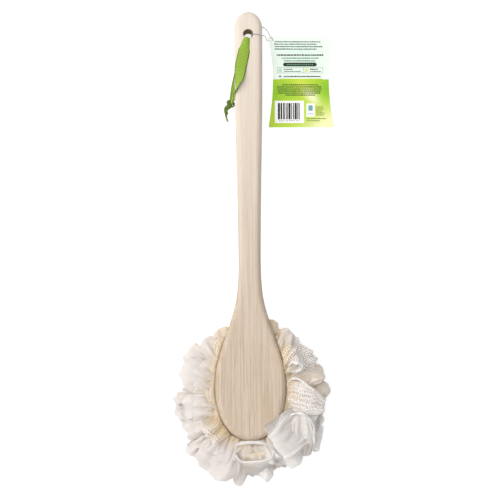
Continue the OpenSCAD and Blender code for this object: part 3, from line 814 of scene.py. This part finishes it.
# Lower rings, down to the surface: strip, count, reach, tip height, thickness, half width, first seed
rng = np.random.default_rng(7)
for strip, count, reach, n_tip, thick, half, seed in (
    (side_strip, 13, 75.9, -24, 20, 18, 1500), (side_strip, 14, 79.2, -38, 20, 18, 1000),
    (front_loofah, 13, 73.7, -51, 18, 19.1, 2000), (front, 11, 59.4, -61, 16, 20.1, 3000),
    (middle, 7, 35.2, -64, 14, 19.1, 4000),
):
    for i in range(count):
        turn = (i + rng.uniform(-0.22, 0.22)) * 360 / count
        petal(strip, turn, reach + rng.uniform(-4.4, 3.3), half, n_tip + rng.uniform(-4, 4), seed + 7 * i,
              n_base=-14, n_lift=n_tip * 0.45 - 10, n_over=n_tip * 0.85 - 2, roll=rng.uniform(-20, 20),
              thick=thick, round_=rng.uniform(0.25, 0.45), tone=0.05)


# ---- Netting materials ----
def netting_material(name, cell, thread, holes, white, tan, soft):
    """Knitted netting. cell is the mesh in millimetres, thread its thread's share of a cell, holes how open
    the holes are, and soft how far its cells are bent out of line."""
    material, t = new_material(name)
    white, tan = linear(*white), linear(*tan)
    uv = node(t, "ShaderNodeUVMap", uv_map="Weave").outputs[0]
    scaled = vector_maths(t, "MULTIPLY", uv, (1 / cell, 1 / cell, 1))
    wobble = noise(t, scaled, 0.35, output="Color")
    bent = vector_maths(t, "ADD", scaled, vector_maths(t, "MULTIPLY", wobble, (soft, soft, 0)))
    cells = node(t, "ShaderNodeTexVoronoi", {"Vector": bent, "Scale": 1.0, "Randomness": 0.5},
                 feature="DISTANCE_TO_EDGE", voronoi_dimensions="2D")
    gap = between(t, cells.outputs["Distance"], thread * 0.6, thread * 1.2, interpolation_type="SMOOTHSTEP")
    # The light attribute is painted light and shade: the ramp below turns it from tan in shade to white in the
    # open.
    light = node(t, "ShaderNodeAttribute", attribute_name="light").outputs["Fac"]
    cloud = maths(t, "SUBTRACT", noise(t, None, 45.0, 3.0, 0.6), 0.5)
    share = maths(t, "ADD", maths(t, "MULTIPLY", light, 0.8), maths(t, "MULTIPLY", cloud, 0.4))
    between_them = tuple((a + 2 * b) / 3 for a, b in zip(tan, white))
    brightest = tuple(0.25 * a + 0.75 for a in white)
    colour = ramp(t, share, [(0.08, tan), (0.4, between_them), (0.68, white), (0.84, white), (1.0, brightest)])
    colour = tint(t, colour, gap, 0.2, tan)
    bump = bumped(t, maths(t, "SUBTRACT", 1.0, gap), 0.5, 0.0004)
    cloth = principled(t, colour, 0.85, {"Normal": bump, "Sheen Weight": 0.25, "Specular IOR Level": 0.2})
    # Nearly half of the light comes through the cloth itself
    behind = node(t, "ShaderNodeBsdfTranslucent", {"Color": colour, "Normal": bump}).outputs[0]
    body = mixed_shader(t, 0.45, cloth, behind)
    clear = node(t, "ShaderNodeBsdfTransparent").outputs[0]
    return finished(material, mixed_shader(t, maths(t, "MULTIPLY", gap, holes), body, clear))


NETTINGS = {name: netting_material(name, *look) for name, look in (
    ("fine_netting", (0.8, 0.22, 0.5, (240, 235, 232), (243, 226, 197), 0.6)),
    ("loofah_netting", (1.8, 0.18, 0.65, (240, 236, 233), (241, 223, 190), 1.1)),
)}
# Each strip as one mesh in its netting, on the scrubber, in place of its part
for strip, slot, cad in (
    (back, "fine_netting", "back_ruffle"), (back_loofah, "loofah_netting", "back_loofah_ruffle"),
    (side_strip, "fine_netting", "side_ruffle"), (front_loofah, "loofah_netting", "front_loofah_ruffle"),
    (front, "fine_netting", "front_ruffle"), (middle, "fine_netting", "centre_ruffle"),
):
    cloth = strip.build()
    cloth.data.materials.append(NETTINGS[slot])
    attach(cloth, "scrubber")
    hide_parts(cad)
    areas = np.zeros(len(cloth.data.polygons))
    cloth.data.polygons.foreach_get("area", areas)


# ---- Wood ----
def wood_material():
    material, t = new_material("pale_wood")
    place = object_place(t)
    flat = stretched(t, place, (1, 1, 1), (SLOPE, 0, 0))
    # Grain that runs along the board and drifts a little
    drift = noise(t, stretched(t, flat, (1, 0.09, 1)), 38.0, output="Color")
    grain_at = vector_maths(t, "ADD", flat, vector_maths(t, "MULTIPLY", drift, (0.007, 0, 0.007)))
    fine_at = stretched(t, grain_at, (1, 0.013, 1))
    rings = noise(t, fine_at, 190.0, 6.0, 0.68)
    streak = noise(t, fine_at, 620.0, 4.0, 0.65)
    ticks = noise(t, stretched(t, grain_at, (1, 0.06, 1)), 1100.0)
    spots = between(t, ticks, 0.60, 0.72)
    colour = ramp(t, rings, [(0.34, linear(152, 131, 109)), (0.43, linear(172, 154, 135)),
                             (0.49, linear(185, 170, 154)), (0.55, linear(168, 149, 129)),
                             (0.64, linear(183, 167, 150))], "LINEAR")
    colour = tint(t, colour, between(t, streak, 0.53, 0.66), 0.45, linear(150, 126, 102))
    colour = tint(t, colour, spots, 0.4, linear(140, 116, 92))
    colour = tint(t, colour, noise(t, flat, 11.0, 3.0), 0.2, linear(196, 180, 162))
    # Painted light: paler towards the hanging end, standing in for the light falling off towards the paddle
    pale = between(t, parts_of(t, place)["Y"], -0.12, 0.22)
    colour = tint(t, colour, pale, 0.7, linear(214, 204, 193))
    # Painted shade: darker and browner in the bore of the hanging hole, where shade falls
    there = parts_of(t, flat)
    down = maths(t, "SUBTRACT", there["Y"], (END_Y * COS - LIFT * SIN - HOLE_S) * MM)
    squares = maths(t, "ADD", maths(t, "POWER", there["X"], 2.0), maths(t, "POWER", down, 2.0))
    bore_shade = between(t, maths(t, "SQRT", squares), 0.0058, 0.0051)
    colour = tint(t, colour, bore_shade, 0.95, linear(108, 82, 34))
    high = maths(t, "ADD", maths(t, "MULTIPLY", streak, 0.7), maths(t, "MULTIPLY", spots, -0.6))
    rough = maths(t, "ADD", 0.55, maths(t, "MULTIPLY", rings, 0.15))
    more = {"Normal": bumped(t, high, 0.35, 0.0004), "Specular IOR Level": 0.25}
    return finished(material, principled(t, colour, rough, more))


def dress(name, material):
    nodes[name].data.materials.clear()
    nodes[name].data.materials.append(material)


dress("handle", wood_material())


# ---- Ribbon material, knot and tails ----
def ribbon_material():
    material, t = new_material("grosgrain")
    uv = node(t, "ShaderNodeUVMap", uv_map="Weave").outputs[0]
    along, across, _ = parts_of(t, uv)
    ribs = maths(t, "ABSOLUTE", maths(t, "SINE", maths(t, "MULTIPLY", along, math.pi / RIB_PITCH)))
    thread = noise(t, uv, 3.2, 3.0, 0.7)
    # Painted shade: darker in the grooves between the ribs, paler on their crests.
    colour = ramp(t, ribs, [(0, linear(56, 80, 14)), (0.5, linear(127, 155, 45)), (1, linear(158, 184, 68))])
    colour = tint(t, colour, thread, 0.45, linear(88, 118, 28))
    colour = tint(t, colour, noise(t, uv, 0.12), 0.3, linear(134, 162, 60))
    # Darker along both edges
    edge = between(t, maths(t, "ABSOLUTE", across), RIBBON_W * 0.40, RIBBON_W * 0.46)
    colour = tint(t, colour, edge, 0.75, linear(48, 70, 16))
    more = {"Normal": bumped(t, thread, 0.3, 0.0002), "Sheen Weight": 0.1, "Specular IOR Level": 0.2}
    return finished(material, principled(t, colour, 0.62, more))


def tube(path, across, a, b, sides, closed=False):
    """Rings along a path, half sizes a along across and b the other way, as (points, faces, uv)."""
    travel = unit((np.roll(path, -1, 0) - np.roll(path, 1, 0)) if closed else np.gradient(path, axis=0))
    w = square_to(np.broadcast_to(across, path.shape), travel)
    turn = circle(sides)
    a, b = (np.broadcast_to(half, len(path))[:, None] for half in (a, b))
    points = swept(path, (w, a * flattened(np.cos(turn), 0.6)), (np.cross(travel, w), b * np.sin(turn)))
    if closed:
        points = np.concatenate([points, points[:1]])
    uv = pairs(run_along(points[:, 0])[:, None], turn * a.mean())
    return points.reshape(-1, 3), grid_faces(len(points), sides), uv


KNOT_AT = placed([-20.2, 98.9, -9.4])
KNOT_SIZE = [4.3, 4.7, 2.8]
KNOT_LEAN = np.array([[0.8, -0.55, 0.25], [0.55, 0.8, -0.2], [-0.1, 0.3, 0.95]])


def ribbon_knot():
    """The ribbon's two ends wrapped in an overhand knot, as a trefoil of one thick ribbed band."""
    t = circle(170)
    trefoil = np.stack([np.sin(t) + 2 * np.sin(2 * t), np.cos(t) - 2 * np.cos(2 * t), -1.5 * np.sin(3 * t)], -1)
    line = KNOT_AT + (trefoil / 3 * KNOT_SIZE) @ KNOT_LEAN
    across = np.cross(np.roll(line, -1, 0) - line, line - KNOT_AT)
    points, faces, uv = tube(line, across, 2.0, 0.8, 16, closed=True)
    ribs = 1 + 0.06 * np.sin(uv[:, 0] * 2 * np.pi / RIB_PITCH) + 0.05 * wave_noise(points, 77, 2, 5)[:, 0]
    return make_mesh("ribbon_knot_wraps", KNOT_AT + (points - KNOT_AT) * ribs[:, None], faces, uv)


# Board-frame routes of the two tails, from the knot down to the table
TAILS = [
    [[-21.5, 101.6, -10], [-24.6, 103.6, -11.2], [-25.6, 107, -13], [-24.4, 110.6, -14.6],
     [-23.4, 114.2, -15.8]],
    [[-22.8, 101, -10], [-25.6, 103.2, -11.8], [-24.2, 107, -13.8], [-25.2, 110.2, -15],
     [-24.9, 112.8, -15.8]],
]
FRAYED_THREADS = 13


def frayed_tails():
    """Both tails, each a narrow twisted band with frayed threads at its cut end."""
    rng = np.random.default_rng(21)
    parts = []
    for k, route in enumerate(TAILS):
        line = smooth_line(route, 0.2)
        run = np.linspace(0, 1, len(line))
        half = 1.8 + 0.5 * np.sin(2.5 * np.pi * run + 2 * k)
        twist = (2.4 * run - 0.6) * (1 - 2 * k)
        across = np.stack([np.cos(twist), 0.1 + 0 * twist, np.sin(twist)], -1)
        ridge = 0.24 + 0.12 * np.abs(np.sin(np.pi * run * run_along(line)[-1] / RIB_PITCH))
        parts.append(tube(line, across, half, ridge, 16))
        end, ahead = line[-1], unit(line[-1] - line[-8])
        side_way = unit(across[-1] - (across[-1] @ ahead) * ahead)
        for at in np.linspace(-1, 1, FRAYED_THREADS) * half[-1] * 0.95:
            out = ahead + side_way * (at * 0.12 + rng.uniform(-0.15, 0.15))
            out = out + np.array([0, 0, 1]) * rng.uniform(-0.02, 0.16)
            long = rng.uniform(1.2, 3.6)
            curl = rng.uniform(-0.8, 0.8)
            t = np.linspace(0, 1, 7)[:, None]
            thread = end + side_way * at - ahead * 0.6 + out * long * t + side_way * curl * t**2
            parts.append(tube(thread, side_way, 0.17 * (1 - 0.4 * t[:, 0]), 0.13, 6))
    points, faces, uvs = zip(*parts)
    starts = np.cumsum([0] + [len(p) for p in points])
    points = placed(np.vstack(points))
    # None of them goes below the table
    points[:, 2] = np.maximum(points[:, 2], 0.15)
    faces = np.vstack([f + start for f, start in zip(faces, starts)])
    return make_mesh("ribbon_frayed_tails", points, faces, np.vstack(uvs))


grosgrain = ribbon_material()
knot, tails = ribbon_knot(), frayed_tails()
for piece in (ribbon_front, ribbon_back, knot, tails):
    piece.data.materials.append(grosgrain)
    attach(piece, "ribbon")
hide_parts("ribbon_loop")
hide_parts("ribbon_knot")
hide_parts("ribbon_tails")


# ---- String and card ----
def clear_material():
    material, t = new_material("clear_nylon")
    colour = ramp(t, noise(t, None, 700.0), [(0.35, linear(134, 134, 142)), (0.7, linear(176, 178, 186))])
    nylon = principled(t, colour, 0.22, {"Coat Weight": 0.4, "Specular IOR Level": 0.6})
    clear = node(t, "ShaderNodeBsdfTransparent").outputs[0]
    return finished(material, mixed_shader(t, 0.2, nylon, clear))


string_curve.materials.append(clear_material())
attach(tag_string, "string")
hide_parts("tag_loop")

TAG_W, TAG_H, TAG_WAIST, TAG_WAIST_DOWN, TAG_T = 71.5, 99.0, 61.5, 46.5, 0.5
TAG_HOLE_IN = (5.5, 4.0)
TAG_HOLE_R = 2.0
TAG_LEAN = math.asin(3 / TAG_W)
TAG_AT = placed([27.3, 29.5, -0.4])


def tag_half(d):
    """The card's half width at d down from its top."""
    upper = TAG_W / 2 - (TAG_W - TAG_WAIST) / 2 * np.sin(np.pi / 2 * d / TAG_WAIST_DOWN)
    lower = TAG_WAIST / 2 + (TAG_W - TAG_WAIST) / 2 * (
        1 - np.cos(np.pi / 2 * (d - TAG_WAIST_DOWN) / (TAG_H - TAG_WAIST_DOWN)))
    return np.where(d < TAG_WAIST_DOWN, upper, lower)


def shown(r, g, b):
    """The ink for a colour on the card, 0 to 255 as it looks in the studio's light."""
    return np.clip((np.array(linear(r, g, b)) - 0.02) / 1.28, 0.004, 0.9)


def glow(ground, x, d, at, size, tilt, most, colour):
    """The ground with a soft oval of another colour, at (x, d), tilted by an angle in radians."""
    c, s = math.cos(tilt), math.sin(tilt)
    u, v = (x - at[0]) * c + (d - at[1]) * s, -(x - at[0]) * s + (d - at[1]) * c
    share = most * np.exp(-((u / size[0]) ** 2) - (v / size[1]) ** 2)[:, None]
    return ground * (1 - share) + shown(*colour) * share


def card_colour(x, d):
    """The card's ground: x from its middle, d down from its top, in millimetres."""
    pale = glow(shown(247, 253, 245), x, d, (0, 24), (30, 22), 0, 0.9, (222, 244, 228))
    lime = shown(190, 220, 62)
    for at, size, tilt, most, colour in (
        ((-32, 60), (26, 15), 0, 0.9, (148, 200, 34)), ((34, 56), (18, 15), 0, 0.95, (130, 192, 30)),
        ((8, 62), (30, 7), 1.0, 0.8, (216, 228, 84)), ((12, 66), (10, 5), 0.8, 0.7, (255, 255, 225)),
        ((30, 96), (34, 14), -0.5, 0.95, (255, 252, 196)),
    ):
        lime = glow(lime, x, d, at, size, tilt, most, colour)
    below = d > 45.6 + 1.2 * (x / 36) ** 2
    return np.where(below[:, None], lime, pale)


def card_marks():
    """Plain bars and panels on the card, [x0, x1, d0, d1, ink], which stand for no words, and which of them lie
    on top of others."""
    rng = np.random.default_rng(5)
    marks = []

    def dashes(x0, x1, d0, thick, ink, low=0.7, high=2.4, gap=0.25):
        at = x0
        while at < x1 - 0.5:
            long = rng.uniform(low, high)
            marks.append([at, min(at + long, x1), d0 + rng.uniform(0, 0.25), d0 + thick, ink])
            at += long + rng.uniform(gap, 1.5 * gap)

    grey, dark, deep, line = shown(70, 106, 82), shown(4, 34, 20), shown(0, 56, 34), shown(140, 164, 144)
    for x0, x1, d0 in ((-29, 22, 4.6), (-29, 17.5, 7.2), (-28.7, 24, 9.9), (-28.7, 18, 12.6)):
        dashes(x0, x1, d0, 1.3, grey)
    dashes(-26.5, 25, 19.0, 1.6, dark, 1.4, 3.6, 0.35)
    dashes(-21, 19.6, 22.6, 1.2, grey)
    dashes(-18.5, 16, 25.6, 1.2, grey)
    # Rounded label, as bars of different lengths
    for inset, d0, d1 in ((1.4, 28.1, 28.6), (0.5, 28.6, 29.3), (0, 29.3, 31.1), (0.5, 31.1, 31.8),
                          (1.4, 31.8, 32.3)):
        marks.append([-19.4 + inset, 17.6 - inset, d0, d1, deep])
    base = len(marks)
    dashes(-15.5, 14.5, 29.7, 1.0, shown(120, 172, 146), 0.8, 2.2, 0.7)
    over = list(range(base, len(marks)))
    # Two boxes side by side, each with a square and two lines in it, and a line with a square below them
    marks += [[x0, x1, d0, d1, line] for x0, x1, d0, d1 in (
        (-26, 24.5, 33.5, 33.9), (-26, 24.5, 39.3, 39.7), (-26, -25.6, 33.5, 39.7), (24.1, 24.5, 33.5, 39.7),
        (2.6, 3.0, 33.5, 39.7))]
    marks.append([-24.4, -20.8, 34.8, 38.4, shown(196, 224, 204)])
    marks.append([4.2, 7.8, 34.8, 38.4, shown(222, 224, 150)])
    for x0, x1, d0, thick, ink in ((-18.5, -9, 34.9, 1.1, dark), (-18.5, 0, 37.2, 1.0, grey),
                                   (10, 19, 34.9, 1.1, dark), (10, 22, 37.2, 1.0, grey)):
        dashes(x0, x1, d0, thick, ink)
    marks.append([-24, -21.4, 42.4, 44.0, shown(70, 110, 84)])
    dashes(-19, 22, 42.6, 1.4, dark)
    for x0, x1, d0 in ((-20.5, 19, 51.8), (-26, 23, 54.1), (-26, 23, 56.4), (-25.5, 22, 58.6),
                       (-25.5, 22, 60.8), (-17, 15.5, 63.0)):
        dashes(x0, x1, d0, 1.35, shown(52, 84, 22))
    # Two white panels: bars and a small block on them
    marks.append([-28.9, 3.2, 70, 94.4, shown(255, 255, 255)])
    marks.append([5.8, 15, 73, 87.3, shown(255, 255, 255)])
    at = -25.5
    base = len(marks)
    while at < -1.4:
        wide = rng.choice([0.9, 1.1, 1.7, 2.3])
        marks.append([at, min(at + wide, -0.7), 72.4, 90.4, shown(40, 28, 42)])
        at += wide + rng.choice([0.6, 0.7, 1.1])
    dashes(-24, -2, 91.4, 1.0, shown(120, 116, 128), 0.8, 1.4, 0.9)
    marks.append([8, 12.8, 75, 81, shown(120, 168, 178)])
    dashes(7, 13.8, 84, 0.9, shown(120, 150, 180))
    over += range(base, len(marks))
    for k in range(5):
        dashes(16.4, 26.5 - rng.uniform(0, 4), 76.2 + 2.2 * k, 1.1, shown(108, 132, 50))
    dashes(6, 27.4, 89, 1.1, shown(100, 126, 50))
    dashes(6, 20.6, 91.4, 1.0, shown(110, 134, 56))
    return marks, set(over)


def on_card(flat):
    """Points of the card, [x from its middle, -d, height], where it lies."""
    c, s = math.cos(TAG_LEAN), math.sin(TAG_LEAN)
    p = flat + [TAG_W / 2 - TAG_HOLE_IN[0], TAG_HOLE_IN[1], 0]
    return np.stack([p[:, 0] * c + p[:, 2] * s, p[:, 1], -p[:, 0] * s + p[:, 2] * c], -1) + TAG_AT


# How far the printing lies above the card, a mark above the printing and a mark above another
SKIN_UP, MARK_UP, TOP_MARK_UP = 0.06, 0.035, 0.07
CARD_EDGE = 0.1


def printed_face():
    """The printing, a skin just above the card's upper face, with the punched hole left open."""
    step = 0.75
    d = np.arange(0, TAG_H + 1e-6, step)
    D, U = np.meshgrid(d, np.linspace(-1, 1, int(TAG_W / step) + 1), indexing="ij")
    D = np.clip(D, CARD_EDGE, TAG_H - CARD_EDGE)
    X = U * (tag_half(D) - CARD_EDGE)
    hole_x, hole_d = TAG_HOLE_IN[0] - TAG_W / 2, TAG_HOLE_IN[1]
    away = np.hypot(X - hole_x, D - hole_d)
    # Points near the hole's edge are drawn onto it
    on_edge = np.abs(away - TAG_HOLE_R) < step * 0.75
    f = np.where(on_edge, TAG_HOLE_R / np.maximum(away, 1e-6), 1)
    X, D = hole_x + (X - hole_x) * f, hole_d + (D - hole_d) * f
    skin = TAG_T / 2 + SKIN_UP
    flat = np.stack([X, -D, np.full(X.shape, skin)], -1).reshape(-1, 3)
    quads = grid_faces(*X.shape, closed=False)[:, ::-1]
    mid = flat[quads].mean(1)
    keep = np.hypot(mid[:, 0] - hole_x, -mid[:, 1] - hole_d) > TAG_HOLE_R - 0.05
    quads, mid = quads[keep], mid[keep]
    ink = [card_colour(mid[:, 0], -mid[:, 1])]
    points, faces = [flat], [quads]
    marks, over = card_marks()
    for i, (x0, x1, d0, d1, tone) in enumerate(marks):
        high = skin + (TOP_MARK_UP if i in over else MARK_UP)
        faces.append([np.arange(4) + len(flat) + 4 * i])
        points.append([[x0, -d1, high], [x1, -d1, high], [x1, -d0, high], [x0, -d0, high]])
        ink.append([tone])
    points, quads, ink = on_card(np.vstack(points)), np.vstack(faces), np.vstack(ink)
    used, again = np.unique(quads, return_inverse=True)
    made = make_mesh("card_print", points[used], again.reshape(quads.shape), smooth=False)
    attribute = made.data.color_attributes.new("print", "FLOAT_COLOR", "CORNER")
    ink = np.hstack([ink, np.ones((len(ink), 1))])
    attribute.data.foreach_set("color", np.repeat(ink, 4, axis=0).astype(np.float32).ravel())
    return made


def card_material():
    material, t = new_material("printed_card")
    ink = node(t, "ShaderNodeVertexColor", layer_name="print").outputs[0]
    fibre = noise(t, None, 1500.0, 4.0, 0.7)
    colour = tint(t, ink, fibre, 0.04, linear(230, 232, 220))
    rough = maths(t, "ADD", 0.42, maths(t, "MULTIPLY", fibre, 0.12))
    more = {"Normal": bumped(t, fibre, 0.08, 0.0002), "Specular IOR Level": 0.15}
    return finished(material, principled(t, colour, rough, more))


def stock_material():
    """Bare card, pale in its upper part and green in its lower one."""
    material, t = new_material("card_stock")
    place = object_place(t)
    fibre = noise(t, place, 1500.0, 4.0)
    lower = between(t, parts_of(t, place)["Y"], 0.1786, 0.1776)
    colour = ramp(t, lower, [(0.0, linear(220, 236, 208)), (1.0, linear(158, 200, 70))], "LINEAR")
    colour = tint(t, colour, fibre, 0.2, linear(246, 246, 236))
    return finished(material, principled(t, colour, 0.6, {"Normal": bumped(t, fibre, 0.1, 0.0002)}))


dress("hang_tag", stock_material())
card = printed_face()
card.data.materials.append(card_material())
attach(card, "tag")


# ---- Fastenings in the pouf ----
def steel_material():
    material, t = new_material("zinc_steel")
    scratch = noise(t, object_place(t), 900.0, 4.0)
    colour = ramp(t, scratch, [(0.3, linear(168, 170, 172)), (0.7, linear(204, 206, 208))])
    rough = maths(t, "ADD", 0.25, maths(t, "MULTIPLY", scratch, 0.2))
    return finished(material, principled(t, colour, rough, {"Metallic": 1.0}))


def cord_material():
    material, t = new_material("cotton_cord")
    inputs = {"Vector": object_place(t), "Scale": 420.0, "Distortion": 1.5}
    twist = node(t, "ShaderNodeTexWave", inputs).outputs["Fac"]
    colour = ramp(t, twist, [(0.2, linear(206, 194, 168)), (0.8, linear(236, 228, 208))])
    return finished(material, principled(t, colour, 0.85, {"Normal": bumped(t, twist, 0.6, 0.0003)}))


for material, names in ((steel_material(), ("washers", "screws")),
                        (cord_material(), ("gathering_cord", "gathering_knot"))):
    for name in names:
        dress(name, material)

# ---- Floor and studio light ----
FLOOR_HALF = 4
floor_mesh = bpy.data.meshes.new("floor")
floor_corners = [(x * FLOOR_HALF, y * FLOOR_HALF, 0) for x, y in ((-1, -1), (1, -1), (1, 1), (-1, 1))]
floor_mesh.from_pydata(floor_corners, [], [(0, 1, 2, 3)])
floor = bpy.data.objects.new("floor", floor_mesh)
# Just below the table's height, so that it doesn't share a plane with what lies on it
floor.location.z = -0.0004
scene.collection.objects.link(floor)
material, t = new_material("studio_floor")
# Pale enough, and lit enough from below, for its shadows to stay faint
floor_look = principled(t, (0.45, 0.45, 0.45, 1), 0.9, {
    "Specular IOR Level": 0.1, "Emission Color": (1, 1, 1, 1), "Emission Strength": 0.66})
floor_mesh.materials.append(finished(material, floor_look))

world = bpy.data.worlds.new("studio")
scene.world = world
world.use_nodes = True
t = world.node_tree
# A white room, brighter on its left side
aim = node(t, "ShaderNodeTexCoord").outputs["Generated"]
room = node(t, "ShaderNodeMapRange", {"Value": parts_of(t, aim)["X"], "From Min": -1.0, "From Max": 1.0,
                                      "To Min": 0.62, "To Max": 0.06})
backdrop = t.nodes["Background"]
backdrop.inputs[0].default_value = (1, 1, 1, 1)
t.links.new(room.outputs[0], backdrop.inputs[1])

AIMED_AT = Vector((0, 0, 0.03))


def soft_light(name, at, side, watts, colour=(1, 1, 1)):
    data = bpy.data.lights.new(name, "AREA")
    data.size = side
    data.energy = watts
    data.color = colour
    light = bpy.data.objects.new(name, data)
    light.location = at
    light.rotation_euler = (AIMED_AT - Vector(at)).to_track_quat("-Z", "Y").to_euler()
    scene.collection.objects.link(light)


soft_light("key", (-1.5, 0.7, 1.2), 1.0, 19, (1, 0.99, 0.98))
soft_light("top", (-0.3, 0.1, 1.9), 2.2, 43.4)
soft_light("fill", (0.25, -1.6, 0.5), 1.0, 4)
scene.view_settings.view_transform = "Standard"
